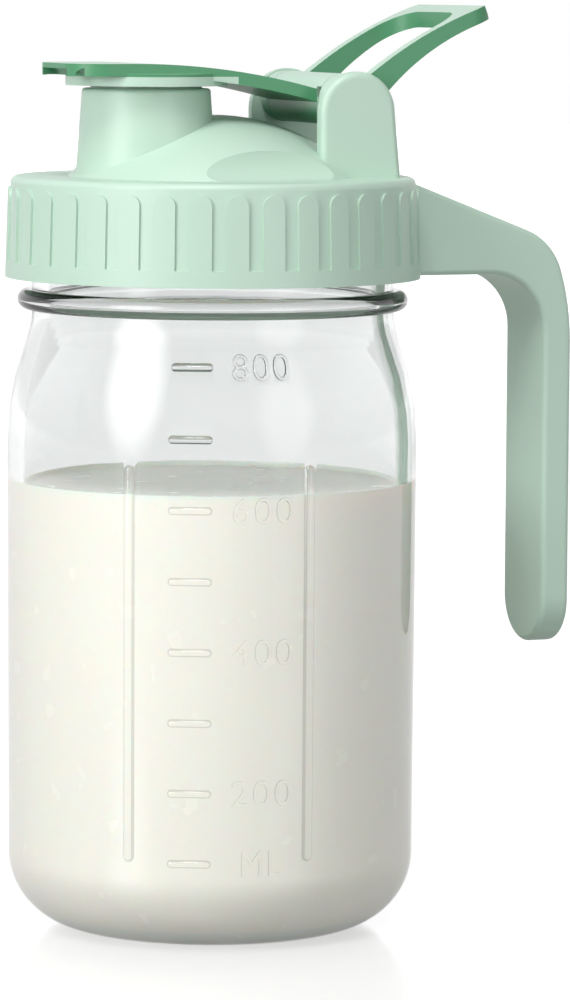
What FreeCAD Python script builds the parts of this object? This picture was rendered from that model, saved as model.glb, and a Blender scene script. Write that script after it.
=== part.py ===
"""Milk pitcher: a wide-mouth glass jar of milk under a screw-on pouring lid.

The lid has a ribbed band, a domed top with a round spout, a side handle and
two ears. A flip cap and a carry loop turn on the ears' stub pins.

Frame: millimetres, +Z up, origin on the jar's axis at its resting plane.
The handle points along +X, the spout lies towards -X, the hinge runs along Y.
"""
import FreeCAD
import Part
import math
import os

Vec = FreeCAD.Vector
ORIGIN = Vec(0, 0, 0)
X_AXIS, Y_AXIS, Z_AXIS = Vec(1, 0, 0), Vec(0, 1, 0), Vec(0, 0, 1)
OVERLAP = 0.5              # how far pieces of one moulding run into each other
SEAM_TURN = 90.0           # degrees, keeps the spout's seams off the dome's

# ---- glass jar -------------------------------------------------------------
BODY_R = 48.4              # outside radius at the shoulder
HEEL_DRAFT = 0.4           # how much narrower the body is just above the heel
HEEL_R = 17.6              # outside rounding between wall and base
GLASS_WALL = 3.9
GLASS_BASE = 4.2
PUSH_UP_R = 21.0           # shallow hollow under the base
PUSH_UP_DEPTH = 1.4
JAR_H = 173.5
SHOULDER_Z = JAR_H - 58.5  # where the wall starts to turn in
SHOULDER_ARC = 70.0
NECK_ARC = 20.0
NECK_R = BODY_R - 5.7
BEAD_R = NECK_R + 3.4      # transfer bead round the neck
BEAD_Z = JAR_H - 24.7
BEAD_HEIGHT = 4.7
LIP_R = 1.4                # rounding of the mouth's edges

# ---- moulded scale on the jar ----------------------------------------------
SCALE_AZIMUTH = -109.4     # degrees from +X to the middle of the scale
TICK_COUNT = 8
TICK_PITCH = 16.3          # 100 ml
TICK_Z0 = 21.7             # lowest mark, 100 ml
TICK_LENGTH = 9.9
TICK_R = 1.0
TICK_SIDE = -6.9           # marks stand left of the scale's middle
RIB_ANGLE = 25.3           # two upright ribs, each side of the scale
RIB_R = 1.5
RIB_Z = (23.0, 112.0)
RAISED = 0.6               # how far marks and ribs stand proud

# ---- milk ------------------------------------------------------------------
MILK_LEVEL = SHOULDER_Z - 9.8      # just over the 600 ml mark

# ---- screw lid: band -------------------------------------------------------
BAND_DROP = 19.5           # how far the band reaches below the jar's mouth
BAND_H = 23.7
BAND_Z = JAR_H - BAND_DROP
BAND_TOP = BAND_Z + BAND_H
BAND_WALL = 3.0            # measured at the grooves
GROOVE = 0.6               # depth of the ground between the pads
THREAD_ROOM = 2.0          # from the jar's neck to the band's inside
BAND_DRAFT = 0.7           # how much wider the band is at its foot
BAND_INSIDE_R = NECK_R + THREAD_ROOM
BAND_R_HIGH = BAND_INSIDE_R + BAND_WALL + GROOVE
BAND_R_LOW = BAND_R_HIGH + BAND_DRAFT
BAND_FILLET = 1.6
FOOT_RING_H = 3.9
PAD_COUNT = 36
PAD_WIDTH = 5.1
PAD_TOP_Z = BAND_TOP - 2.7
ROOF_T = 2.6               # flat top of the band
# ring under the roof that sits on the jar's mouth
SEAL_R = (NECK_R - GLASS_WALL + 0.6, NECK_R - 1.5)

# ---- screw lid: dome and spout ---------------------------------------------
DOME_R = 48.0              # ball radius of the domed top
DOME_RISE = 14.4           # above the flat top
DOME_WALL = 3.0
SCOOP_Y = 26.0             # flat hollows in the dome's two flanks
SCOOP_H = 6.8
SCOOP_RUN = 8.0
SCOOP_TURN = 6.0           # degrees
SCOOP_SAG = (0.24, 0.27)   # shares of run and height at the face's middle
SPOUT_X = -17.0
SPOUT_R_TOP = 15.05
SPOUT_R_LOW = SPOUT_R_TOP + 1.65
SPOUT_TOP_Z = BAND_TOP + 20.7
SPOUT_BORE_R = SPOUT_R_TOP - 1.75
SPOUT_LIP = 0.8

# ---- screw lid: ears and stub pins -----------------------------------------
HINGE_X = 26.2
HINGE_Z = BAND_TOP + 18.3
EAR_X = HINGE_X + 1.1      # middle of the ear's round top
EAR_Z = HINGE_Z - 2.8
EAR_R = 9.4
EAR_FOOT = 1.6             # how much wider the ear is at its foot, handle side
BARREL_HALF = 15.6         # half length of the cap's barrel, along the hinge
HUB_W = 4.1                # width of each of the loop's hubs
SIDE_GAP = 0.3             # running gap at each end face along the hinge
EAR_INNER_Y = BARREL_HALF + HUB_W + 2 * SIDE_GAP
EAR_T = 3.2
EAR_FILLET = 1.5
PIN_R = 2.6
PIN_GAP = 0.05             # running clearance round the pins
PIN_TIP_Y = 9.0

# ---- handle ----------------------------------------------------------------
HANDLE_W = 22.1
HANDLE_T = 7.3
HANDLE_OUTER_X = BAND_R_LOW + 39.7
HANDLE_TIP_Z = BAND_Z - 90.0
HANDLE_ROOT_TOP_Z = BAND_TOP - 1.3  # top of the arm where it leaves the band
HANDLE_SLOPE = 21.0        # fall of the arm's top, degrees
KNUCKLE_ARC = 15.0
KNUCKLE_TURN = 73.0        # slope at the end of the tight bend, degrees
GRIP_ARC = 60.0
HANDLE_INNER_ARC = 14.0
HANDLE_FILLET = 1.3

# ---- flip cap --------------------------------------------------------------
BARREL_R = 6.05
CAP_HALF_W = BARREL_HALF
CAP_TIP_X = SPOUT_X - 22.9
CAP_CORNER_R = 9.0
CAP_TOP_Z = SPOUT_TOP_Z + 5.9
CAP_T = 2.9
CAP_BEND_X = SPOUT_X - 8.0  # flat up to here, then curving down to the barrel
CAP_BEND_R = 175.0
CAP_LIP_T = 1.1            # lip turned down at the tip, with a finger notch
CAP_NOTCH_HALF = 8.0
CAP_NOTCH_H = 1.9
TIP_HOLLOW_RIM = 1.5       # more than the lip's thickness left at each side
TIP_HOLLOW_REACH = 0.8     # how far the hollow runs in over the skirt
TOOL_DROP = 0.2            # cutting tools start this far below the face
SKIRT_R = SPOUT_R_TOP + 3.85
SKIRT_Z = (SPOUT_TOP_Z + 0.7, SPOUT_TOP_Z + 3.6)
PLUG_R = SPOUT_BORE_R - 0.25
PLUG_WALL = 1.6
PLUG_DEPTH = 6.0
STOP_NOTCH = (2.6, 2.6)    # pocket in each barrel end: depth along Y, height
STOP_NOTCH_SHIFT = 0.4     # how far it sits out of and above the barrel's middle

# ---- carry loop: its edges are given as distances from the hinge ------------
HUB_R = BARREL_R
ARM_W = 3.4
LOOP_TOP = ((2.8, 3.9), (19.0, 14.9), (34.9, 22.0))
LOOP_UNDER = ((36.8, 18.9), (22.3, 12.3), (5.8, -3.0))
LOOP_CORNER_R = 6.0
LOOP_SLOT_END = 6.4        # depth of the cross bar
LOOP_SLOT_CORNER_R = 8.0


def point(radius, z):
    """Point of a profile in the XZ plane."""
    return Vec(radius, 0, z)


def line(a, b):
    return Part.makeLine(a, b)


def arc(a, middle, b):
    return Part.Arc(a, middle, b).toShape()


def arc_about(centre, radius, start_deg, end_deg):
    """Arc in the XZ plane about a centre, between two angles from +X."""
    def at(angle):
        a = math.radians(angle)
        return centre + Vec(radius * math.cos(a), 0, radius * math.sin(a))
    return arc(at(start_deg), at((start_deg + end_deg) / 2), at(end_deg))


def revolved(edges):
    """Solid of revolution about Z from a closed profile in the XZ plane."""
    wire = Part.Wire(Part.__sortEdges__(edges))
    return Part.Solid(Part.Face(wire).revolve(ORIGIN, Z_AXIS, 360))


def across(edges, half_width):
    """Profile in the XZ plane drawn out to both sides along Y."""
    face = Part.Face(Part.Wire(Part.__sortEdges__(edges)))
    face.translate(Vec(0, -half_width, 0))
    return face.extrude(Vec(0, 2 * half_width, 0))


def cylinder_y(radius, y_from, y_to, x=HINGE_X, z=HINGE_Z):
    """Cylinder along Y, on the hinge line unless told otherwise."""
    return Part.makeCylinder(radius, y_to - y_from, Vec(x, y_from, z), Y_AXIS)


def mirrored(shape):
    """The same shape on the other side of the handle's plane."""
    return shape.mirror(ORIGIN, Y_AXIS)


def one_solid(shape):
    """The single cleaned solid of a finished piece."""
    clean = shape.removeSplitter()
    assert len(clean.Solids) == 1, len(clean.Solids)
    return clean.Solids[0]


# ---- jar and milk ----------------------------------------------------------

def shoulder(offset):
    """Two tangent arcs from the wall to the neck, a wall's thickness inward.

    Returns the edges, the start radius and the end point.
    """
    angle = math.degrees(math.acos(1 - (BODY_R - NECK_R) / (SHOULDER_ARC + NECK_ARC)))
    outer_r = SHOULDER_ARC - offset
    inner_r = NECK_ARC + offset
    wall_r = BODY_R - offset
    centre = point(wall_r - outer_r, SHOULDER_Z)
    upper = arc_about(centre, outer_r, 0, angle)
    turn = upper.Vertexes[-1].Point
    a = math.radians(angle)
    centre = turn + Vec(inner_r * math.cos(a), 0, inner_r * math.sin(a))
    lower = arc_about(centre, inner_r, 180 + angle, 180)
    return [upper, lower], wall_r, lower.Vertexes[-1].Point


def cavity_floor():
    """Inside radius just above the heel, and the heel's centre."""
    heel_centre = point(BODY_R - HEEL_DRAFT - HEEL_R, HEEL_R)
    inner_heel = HEEL_R - GLASS_BASE
    return heel_centre, inner_heel


def cavity_edges():
    """Inside of the jar from the middle of its floor up to the neck."""
    heel_centre, inner_heel = cavity_floor()
    curve, wall_r, neck = shoulder(GLASS_WALL)
    floor_end = point(heel_centre.x, GLASS_BASE)
    heel_top = heel_centre + Vec(inner_heel, 0, 0)
    edges = [
        line(point(0, GLASS_BASE), floor_end),
        arc_about(heel_centre, inner_heel, -90, 0),
        line(heel_top, point(wall_r, SHOULDER_Z)),
    ]
    return edges + curve, neck


def wall_radius(z):
    """Outside radius of the wall; the heel rounds it off below its centre."""
    low_r = BODY_R - HEEL_DRAFT
    if z < HEEL_R:
        return low_r - HEEL_R + math.sqrt(HEEL_R ** 2 - (HEEL_R - z) ** 2)
    if z > SHOULDER_Z:
        return BODY_R - SHOULDER_ARC + math.sqrt(SHOULDER_ARC ** 2 - (z - SHOULDER_Z) ** 2)
    return low_r + HEEL_DRAFT * (z - HEEL_R) / (SHOULDER_Z - HEEL_R)


def scale_marks():
    """Short marks every 100 ml and two long upright ribs, as rounded bars."""
    marks = []
    for i in range(TICK_COUNT):
        z = TICK_Z0 + TICK_PITCH * i
        half = TICK_LENGTH / 2 - TICK_R
        sunk = wall_radius(z) + RAISED - TICK_R
        mark = Part.makeCylinder(TICK_R, 2 * half, Vec(sunk, -half, z), Y_AXIS)
        for y in (-half, half):
            mark = mark.fuse(Part.makeSphere(TICK_R, Vec(sunk, y, z)))
        mark.rotate(ORIGIN, Z_AXIS, math.degrees(TICK_SIDE / BODY_R))
        marks.append(mark)
    low, high = (wall_radius(z) + RAISED - RIB_R for z in RIB_Z)
    for side in (-1, 1):
        foot, head = Vec(low, 0, RIB_Z[0]), Vec(high, 0, RIB_Z[1])
        rib = Part.makeCylinder(RIB_R, (head - foot).Length, foot, head - foot)
        for end in (foot, head):
            rib = rib.fuse(Part.makeSphere(RIB_R, end))
        rib.rotate(ORIGIN, Z_AXIS, side * RIB_ANGLE)
        marks.append(rib)
    for mark in marks:
        mark.rotate(ORIGIN, Z_AXIS, SCALE_AZIMUTH)
    return marks


def glass_jar():
    heel_centre, _ = cavity_floor()
    curve, wall_r, neck = shoulder(0)
    bead_round = BEAD_HEIGHT / 2
    bead_low = BEAD_Z - bead_round
    bead_high = BEAD_Z + bead_round
    bead_root = BEAD_R - bead_round
    outside = [
        line(point(0, PUSH_UP_DEPTH), point(PUSH_UP_R - PUSH_UP_DEPTH, PUSH_UP_DEPTH)),
        line(point(PUSH_UP_R - PUSH_UP_DEPTH, PUSH_UP_DEPTH), point(PUSH_UP_R, 0)),
        line(point(PUSH_UP_R, 0), point(heel_centre.x, 0)),
        arc_about(heel_centre, HEEL_R, -90, 0),
        line(heel_centre + Vec(HEEL_R, 0, 0), point(wall_r, SHOULDER_Z)),
        *curve,
    ]
    above = [
        line(neck, point(NECK_R, JAR_H - LIP_R)),
        arc_about(point(NECK_R - LIP_R, JAR_H - LIP_R), LIP_R, 0, 90),
    ]
    inner_edges, inner_neck = cavity_edges()
    mouth_r = NECK_R - GLASS_WALL
    inside = [
        line(inner_neck, point(mouth_r, JAR_H - LIP_R)),
        arc_about(point(mouth_r + LIP_R, JAR_H - LIP_R), LIP_R, 180, 90),
        line(point(mouth_r + LIP_R, JAR_H), point(NECK_R - LIP_R, JAR_H)),
        line(point(0, PUSH_UP_DEPTH), point(0, GLASS_BASE)),
    ]
    wall = revolved(outside + above + inner_edges + inside)
    bead = revolved([
        line(point(NECK_R - OVERLAP, bead_low), point(bead_root, bead_low)),
        arc_about(point(bead_root, BEAD_Z), bead_round, -90, 90),
        line(point(bead_root, bead_high), point(NECK_R - OVERLAP, bead_high)),
        line(point(NECK_R - OVERLAP, bead_high), point(NECK_R - OVERLAP, bead_low)),
    ])
    return one_solid(wall.multiFuse([bead] + scale_marks()))


def milk():
    """What the jar holds, up to its level."""
    heel_centre, inner_heel = cavity_floor()
    edges, _ = cavity_edges()
    floor, heel, wall = edges[:3]
    a, b = heel_centre + Vec(inner_heel, 0, 0), point(BODY_R - GLASS_WALL, SHOULDER_Z)
    level_r = a.x + (b.x - a.x) * (MILK_LEVEL - a.z) / (b.z - a.z)
    top = point(level_r, MILK_LEVEL)
    return one_solid(revolved([
        floor,
        heel,
        line(a, top),
        line(top, point(0, MILK_LEVEL)),
        line(point(0, MILK_LEVEL), point(0, GLASS_BASE)),
    ]))


# ---- screw lid -------------------------------------------------------------

def band_radius(z):
    """Outside radius of the pads, narrower towards the top."""
    return BAND_R_LOW + (BAND_R_HIGH - BAND_R_LOW) * (z - BAND_Z) / BAND_H


def band():
    """Ribbed screw band with its flat top and sealing ring."""
    ring_top = BAND_Z + FOOT_RING_H
    inside_r = BAND_INSIDE_R
    roof_z = BAND_TOP - ROOF_T
    top_r = band_radius(BAND_TOP) - GROOVE
    opening = dome_foot_r() - DOME_WALL
    core = revolved([
        line(point(inside_r, BAND_Z), point(band_radius(BAND_Z), BAND_Z)),
        line(point(band_radius(BAND_Z), BAND_Z), point(band_radius(ring_top), ring_top)),
        line(point(band_radius(ring_top), ring_top), point(band_radius(ring_top) - GROOVE, ring_top)),
        line(point(band_radius(ring_top) - GROOVE, ring_top), point(top_r, BAND_TOP - BAND_FILLET)),
        arc_about(point(top_r - BAND_FILLET, BAND_TOP - BAND_FILLET), BAND_FILLET, 0, 90),
        line(point(top_r - BAND_FILLET, BAND_TOP), point(opening, BAND_TOP)),
        line(point(opening, BAND_TOP), point(opening, roof_z)),
        line(point(opening, roof_z), point(SEAL_R[0], roof_z)),
        line(point(SEAL_R[0], roof_z), point(SEAL_R[0], JAR_H)),
        line(point(SEAL_R[0], JAR_H), point(SEAL_R[1], JAR_H)),
        line(point(SEAL_R[1], JAR_H), point(SEAL_R[1], roof_z)),
        line(point(SEAL_R[1], roof_z), point(inside_r, roof_z)),
        line(point(inside_r, roof_z), point(inside_r, BAND_Z)),
    ])
    shell = revolved([
        line(point(inside_r + OVERLAP, BAND_Z), point(band_radius(BAND_Z), BAND_Z)),
        line(point(band_radius(BAND_Z), BAND_Z), point(band_radius(PAD_TOP_Z), PAD_TOP_Z)),
        line(point(band_radius(PAD_TOP_Z), PAD_TOP_Z), point(inside_r + OVERLAP, PAD_TOP_Z)),
        line(point(inside_r + OVERLAP, PAD_TOP_Z), point(inside_r + OVERLAP, BAND_Z)),
    ])
    pad = shell.common(pad_prism())
    pitch = 360.0 / PAD_COUNT
    pads = []
    for i in range(PAD_COUNT):
        turned = pad.copy()
        turned.rotate(ORIGIN, Z_AXIS, pitch * (i + 0.5))
        pads.append(turned)
    return core.multiFuse(pads)


def pad_prism():
    """One pad's outline seen from outside: upright sides and a round top."""
    half = PAD_WIDTH / 2
    spring = PAD_TOP_Z - half
    low = BAND_Z + FOOT_RING_H - OVERLAP
    outline = Part.Wire([
        line(Vec(0, -half, low), Vec(0, half, low)),
        line(Vec(0, half, low), Vec(0, half, spring)),
        arc(Vec(0, half, spring), Vec(0, 0, PAD_TOP_Z), Vec(0, -half, spring)),
        line(Vec(0, -half, spring), Vec(0, -half, low)),
    ])
    return Part.Face(outline).extrude(Vec(BAND_R_LOW + 1, 0, 0))


def dome_centre_z():
    return BAND_TOP + DOME_RISE - DOME_R


def dome_foot_r():
    """Radius where the dome meets the flat top."""
    return math.sqrt(DOME_R ** 2 - (BAND_TOP - dome_centre_z()) ** 2)


def ball_cap(radius, low_z):
    """The part of the dome's ball of this radius above a level."""
    centre = point(0, dome_centre_z())
    low_angle = math.degrees(math.asin((low_z - centre.z) / radius))
    rim = centre + Vec(radius * math.cos(math.radians(low_angle)), 0, low_z - centre.z)
    return revolved([
        arc_about(centre, radius, low_angle, 90),
        line(centre + Vec(0, 0, radius), point(0, low_z)),
        line(point(0, low_z), rim),
    ])


def scoop():
    """Tool for one flank of the dome: a steep face that runs out flat."""
    far = -2 * DOME_R
    top = BAND_TOP + DOME_RISE
    bottom = Vec(0, -SCOOP_Y - SCOOP_RUN, BAND_TOP)
    brow = Vec(0, -SCOOP_Y, BAND_TOP + SCOOP_H)
    middle = Vec(0, -SCOOP_Y - SCOOP_RUN * SCOOP_SAG[0], BAND_TOP + SCOOP_H * SCOOP_SAG[1])
    crest = Vec(0, -SCOOP_Y, top)
    outline = Part.Wire([
        arc(brow, middle, bottom),
        line(bottom, Vec(0, far, BAND_TOP)),
        line(Vec(0, far, BAND_TOP), Vec(0, far, top)),
        line(Vec(0, far, top), crest),
        line(crest, brow),
    ])
    tool = Part.Face(outline).extrude(Vec(2 * DOME_R, 0, 0))
    tool.translate(Vec(-DOME_R, 0, 0))
    tool.rotate(ORIGIN, Z_AXIS, SCOOP_TURN)
    return tool


def spout():
    """Tapered pouring spout, solid for now, standing on the dome."""
    foot = Vec(SPOUT_X, 0, BAND_TOP - ROOF_T)
    height = SPOUT_TOP_Z - foot.z
    cone = Part.makeCone(SPOUT_R_LOW, SPOUT_R_TOP, height, foot, Z_AXIS)
    cone.rotate(foot, Z_AXIS, SEAM_TURN)
    rim = [e for e in cone.Edges
           if e.BoundBox.ZMin > SPOUT_TOP_Z - 0.01]
    return cone.makeFillet(SPOUT_LIP, rim)


def ear():
    """One ear at -Y, rounded round its outer face, with its stub pin."""
    left = EAR_X - EAR_R
    right = EAR_X + EAR_R
    foot = BAND_TOP - OVERLAP
    outline = [
        line(point(left, foot), point(right + EAR_FOOT, foot)),
        line(point(right + EAR_FOOT, foot), point(right, EAR_Z)),
        arc_about(point(EAR_X, EAR_Z), EAR_R, 0, 180),
        line(point(left, EAR_Z), point(left, foot)),
    ]
    block = across(outline, EAR_T / 2)
    block.translate(Vec(0, -EAR_INNER_Y - EAR_T / 2, 0))
    outer_y = -EAR_INNER_Y - EAR_T
    rounded = [e for e in block.Edges
               if e.BoundBox.YMax < outer_y + 0.01 and e.BoundBox.ZMax > foot + 0.01]
    block = block.makeFillet(EAR_FILLET, rounded)
    pin = cylinder_y(PIN_R, -EAR_INNER_Y - OVERLAP, -PIN_TIP_Y)
    return block.fuse(pin)


def handle():
    """Wide flat strap: a sloping arm, a knuckle and a straight round-ended grip."""
    slope = math.radians(HANDLE_SLOPE)
    root_x = BAND_R_LOW - GROOVE - BAND_WALL + OVERLAP
    root_top = point(root_x, HANDLE_ROOT_TOP_Z)
    knuckle_end_x = HANDLE_OUTER_X - GRIP_ARC * (1 - math.sin(math.radians(KNUCKLE_TURN)))
    knuckle_start_x = knuckle_end_x - KNUCKLE_ARC * (
        math.sin(math.radians(KNUCKLE_TURN)) - math.sin(slope))
    knuckle_start = point(
        knuckle_start_x, HANDLE_ROOT_TOP_Z - (knuckle_start_x - root_x) * math.tan(slope))
    centre = knuckle_start - Vec(KNUCKLE_ARC * math.sin(slope), 0, KNUCKLE_ARC * math.cos(slope))
    knuckle = arc_about(centre, KNUCKLE_ARC, 90 - HANDLE_SLOPE, 90 - KNUCKLE_TURN)
    turn = math.radians(90 - KNUCKLE_TURN)
    bend_centre = centre - Vec((GRIP_ARC - KNUCKLE_ARC) * math.cos(turn), 0,
                               (GRIP_ARC - KNUCKLE_ARC) * math.sin(turn))
    bend = arc_about(bend_centre, GRIP_ARC, 90 - KNUCKLE_TURN, 0)
    bend_end = point(HANDLE_OUTER_X, bend_centre.z)
    inner_x = HANDLE_OUTER_X - HANDLE_T
    under_z = BAND_Z
    inner_centre = point(inner_x - HANDLE_INNER_ARC, under_z - HANDLE_INNER_ARC)
    tip_outer, tip_inner = point(HANDLE_OUTER_X, HANDLE_TIP_Z), point(inner_x, HANDLE_TIP_Z)
    strap = across([
        line(root_top, knuckle_start),
        knuckle,
        bend,
        line(bend_end, tip_outer),
        line(tip_outer, tip_inner),
        line(tip_inner, point(inner_x, inner_centre.z)),
        arc_about(inner_centre, HANDLE_INNER_ARC, 0, 90),
        line(point(inner_centre.x, under_z), point(root_x, under_z)),
        line(point(root_x, under_z), root_top),
    ], HANDLE_W / 2)
    strap = strap.cut(tip_waste(inner_x))
    keep = [e for e in strap.Edges if handle_edge(e, root_x)]
    return strap.makeFillet(HANDLE_FILLET, keep)


def tip_waste(inner_x):
    """What is cut from the strap's end to leave it half round."""
    half = HANDLE_W / 2
    block = Part.makeBox(3 * HANDLE_T, HANDLE_W + 2, half + 1,
                         Vec(inner_x - HANDLE_T, -half - 1, HANDLE_TIP_Z - 1))
    centre = Vec(inner_x - HANDLE_T - 1, 0, HANDLE_TIP_Z + half)
    return block.cut(Part.makeCylinder(half, 3 * HANDLE_T + 2, centre, X_AXIS))


def handle_edge(edge, root_x):
    """True for the strap's long edges on its two sides."""
    box = edge.BoundBox
    if box.XMin < root_x + 0.01 and box.XMax < root_x + 0.01:
        return False
    if box.YLength > HANDLE_W - 0.01 and box.XLength < 0.01 and box.ZLength < 0.01:
        return False
    on_side = min(abs(box.YMin), abs(box.YMax)) > HANDLE_W / 2 - 0.01
    at_tip = box.ZMax < HANDLE_TIP_Z + HANDLE_W / 2 + 0.01 and box.YLength > 0.1
    return on_side or at_tip


def screw_lid():
    dome = ball_cap(DOME_R, BAND_TOP - OVERLAP)
    for tool in (scoop(), mirrored(scoop())):
        dome = dome.cut(tool)
    shell = band().multiFuse([dome, spout(), ear(), mirrored(ear()), handle_outside()])
    inside_r = BAND_INSIDE_R
    hollow = ball_cap(DOME_R - DOME_WALL, BAND_TOP - ROOF_T - OVERLAP).common(
        Part.makeCylinder(SEAL_R[0], 4 * DOME_R, Vec(0, 0, BAND_Z), Z_AXIS))
    bore_foot = Vec(SPOUT_X, 0, BAND_TOP - ROOF_T - OVERLAP)
    bore = Part.makeCylinder(SPOUT_BORE_R, SPOUT_TOP_Z - bore_foot.z + 1, bore_foot, Z_AXIS)
    bore.rotate(bore_foot, Z_AXIS, SEAM_TURN)
    mouth = Part.makeCylinder(inside_r, BAND_H - ROOF_T, Vec(0, 0, BAND_Z), Z_AXIS)
    seal = Part.makeCylinder(SEAL_R[1], BAND_TOP - ROOF_T - JAR_H, Vec(0, 0, JAR_H), Z_AXIS).cut(
        Part.makeCylinder(SEAL_R[0], BAND_TOP - ROOF_T - JAR_H, Vec(0, 0, JAR_H), Z_AXIS))
    return one_solid(shell.cut(hollow).cut(bore).cut(mouth.cut(seal)))


def handle_outside():
    """The handle without what would reach inside the band."""
    inside_r = BAND_INSIDE_R + OVERLAP
    core = Part.makeCylinder(inside_r, 2 * BAND_H, Vec(0, 0, BAND_Z - BAND_H / 2), Z_AXIS)
    return handle().cut(core)


# ---- flip cap --------------------------------------------------------------

def cap_plan():
    """Outline of the cap seen from above, as a tall prism."""
    r = CAP_CORNER_R
    w = CAP_HALF_W
    tip = CAP_TIP_X
    end = HINGE_X
    bow = math.sqrt(0.5) * r
    outline = Part.Wire([
        line(Vec(end, -w, 0), Vec(tip + r, -w, 0)),
        arc(Vec(tip + r, -w, 0), Vec(tip + r - bow, -w + r - bow, 0), Vec(tip, -w + r, 0)),
        line(Vec(tip, -w + r, 0), Vec(tip, w - r, 0)),
        arc(Vec(tip, w - r, 0), Vec(tip + r - bow, w - r + bow, 0), Vec(tip + r, w, 0)),
        line(Vec(tip + r, w, 0), Vec(end, w, 0)),
        line(Vec(end, w, 0), Vec(end, -w, 0)),
    ])
    return Part.Face(outline).extrude(Vec(0, 0, 2 * CAP_TOP_Z))


def cap_plate(thickness):
    """Plate that lies flat over the spout and curves down to the barrel."""
    centre = point(CAP_BEND_X, CAP_TOP_Z - CAP_BEND_R)
    reach = math.degrees(math.asin((HINGE_X - CAP_BEND_X) / CAP_BEND_R))
    under_r = CAP_BEND_R - thickness
    top = arc_about(centre, CAP_BEND_R, 90, 90 - reach)
    under = arc_about(centre, under_r, 90, 90 - reach)
    tip_top, tip_under = point(CAP_TIP_X - 1, CAP_TOP_Z), point(CAP_TIP_X - 1, CAP_TOP_Z - thickness)
    return across([
        line(tip_top, point(CAP_BEND_X, CAP_TOP_Z)),
        top,
        line(top.Vertexes[-1].Point, under.Vertexes[-1].Point),
        under,
        line(point(CAP_BEND_X, CAP_TOP_Z - thickness), tip_under),
        line(tip_under, tip_top),
    ], CAP_HALF_W + 1)


def tip_hollow():
    """Hollow under the overhanging tip, open through the lip's finger notch."""
    under_z = CAP_TOP_Z - CAP_T
    low = under_z - TOOL_DROP
    start = CAP_TIP_X + CAP_LIP_T
    end = SPOUT_X - SKIRT_R + TIP_HOLLOW_REACH
    width = end - start
    trough = across([
        arc(point(start, low), point(start + width / 2, under_z + CAP_NOTCH_H), point(end, low)),
        line(point(end, low), point(start, low)),
    ], CAP_HALF_W - CAP_LIP_T - TIP_HOLLOW_RIM)
    notch = Part.makeBox(CAP_LIP_T + 3 * OVERLAP, 2 * CAP_NOTCH_HALF, CAP_NOTCH_H,
                         Vec(CAP_TIP_X - OVERLAP, -CAP_NOTCH_HALF, low))
    return trough.fuse(notch)


def flip_cap():
    plate = cap_plate(CAP_T).common(cap_plan())
    barrel = cylinder_y(BARREL_R, -BARREL_HALF, BARREL_HALF)
    axis_top = Vec(SPOUT_X, 0, SKIRT_Z[0])
    skirt = Part.makeCylinder(SKIRT_R, SKIRT_Z[1] - SKIRT_Z[0], axis_top, Z_AXIS)
    plug_foot = Vec(SPOUT_X, 0, SPOUT_TOP_Z - PLUG_DEPTH)
    plug_h = CAP_TOP_Z - CAP_T / 2 - plug_foot.z
    plug = Part.makeCylinder(PLUG_R, plug_h, plug_foot, Z_AXIS)
    hollow = Part.makeCylinder(PLUG_R - PLUG_WALL, SKIRT_Z[1] - plug_foot.z, plug_foot, Z_AXIS)
    cap = plate.cut(tip_hollow()).multiFuse([barrel, skirt, plug]).cut(hollow)
    bore = cylinder_y(PIN_R + PIN_GAP, -BARREL_HALF - 1, -PIN_TIP_Y + SIDE_GAP)
    depth, height = STOP_NOTCH
    pocket = Part.makeBox(depth, depth + 1, height,
                          Vec(HINGE_X - BARREL_R - STOP_NOTCH_SHIFT, -BARREL_HALF - 1,
                              HINGE_Z + STOP_NOTCH_SHIFT))
    for tool in (bore, pocket):
        cap = cap.cut(tool).cut(mirrored(tool))
    return one_solid(cap)


# ---- carry loop ------------------------------------------------------------

def from_hinge(x, z):
    """Point of a profile given from the hinge line."""
    return point(HINGE_X + x, HINGE_Z + z)


def carry_loop():
    outer_y = EAR_INNER_Y - SIDE_GAP
    inner_y = BARREL_HALF + SIDE_GAP
    top_start, top_mid, top_end = (from_hinge(*p) for p in LOOP_TOP)
    under_start, under_mid, under_end = (from_hinge(*p) for p in LOOP_UNDER)
    slab = across([
        arc(top_start, top_mid, top_end),
        line(top_end, under_start),
        arc(under_start, under_mid, under_end),
        line(under_end, top_start),
    ], outer_y)
    end_x = under_start.x
    slab = slab.common(plan_block(HINGE_X, end_x + 1, outer_y, LOOP_CORNER_R))
    slot_y = outer_y - ARM_W
    slab = slab.cut(plan_block(HINGE_X - 2 * HUB_R, end_x - LOOP_SLOT_END, slot_y,
                               LOOP_SLOT_CORNER_R))
    room = cylinder_y(BARREL_R + SIDE_GAP, -inner_y, inner_y)
    loop = slab.cut(room)
    for hub in (cylinder_y(HUB_R, -outer_y, -inner_y), cylinder_y(HUB_R, inner_y, outer_y)):
        loop = loop.fuse(hub)
    return one_solid(loop.cut(cylinder_y(PIN_R + PIN_GAP, -outer_y - 1, outer_y + 1)))


def plan_block(x_from, x_to, half, corner):
    """Tall block with two rounded corners at its handle end."""
    block = Part.makeBox(x_to - x_from, 2 * half, 2 * CAP_TOP_Z, Vec(x_from, -half, 0))
    corners = [e for e in block.Edges
               if e.BoundBox.ZLength > CAP_TOP_Z and e.BoundBox.XMin > x_to - 0.01]
    return block.makeFillet(corner, corners)


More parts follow.
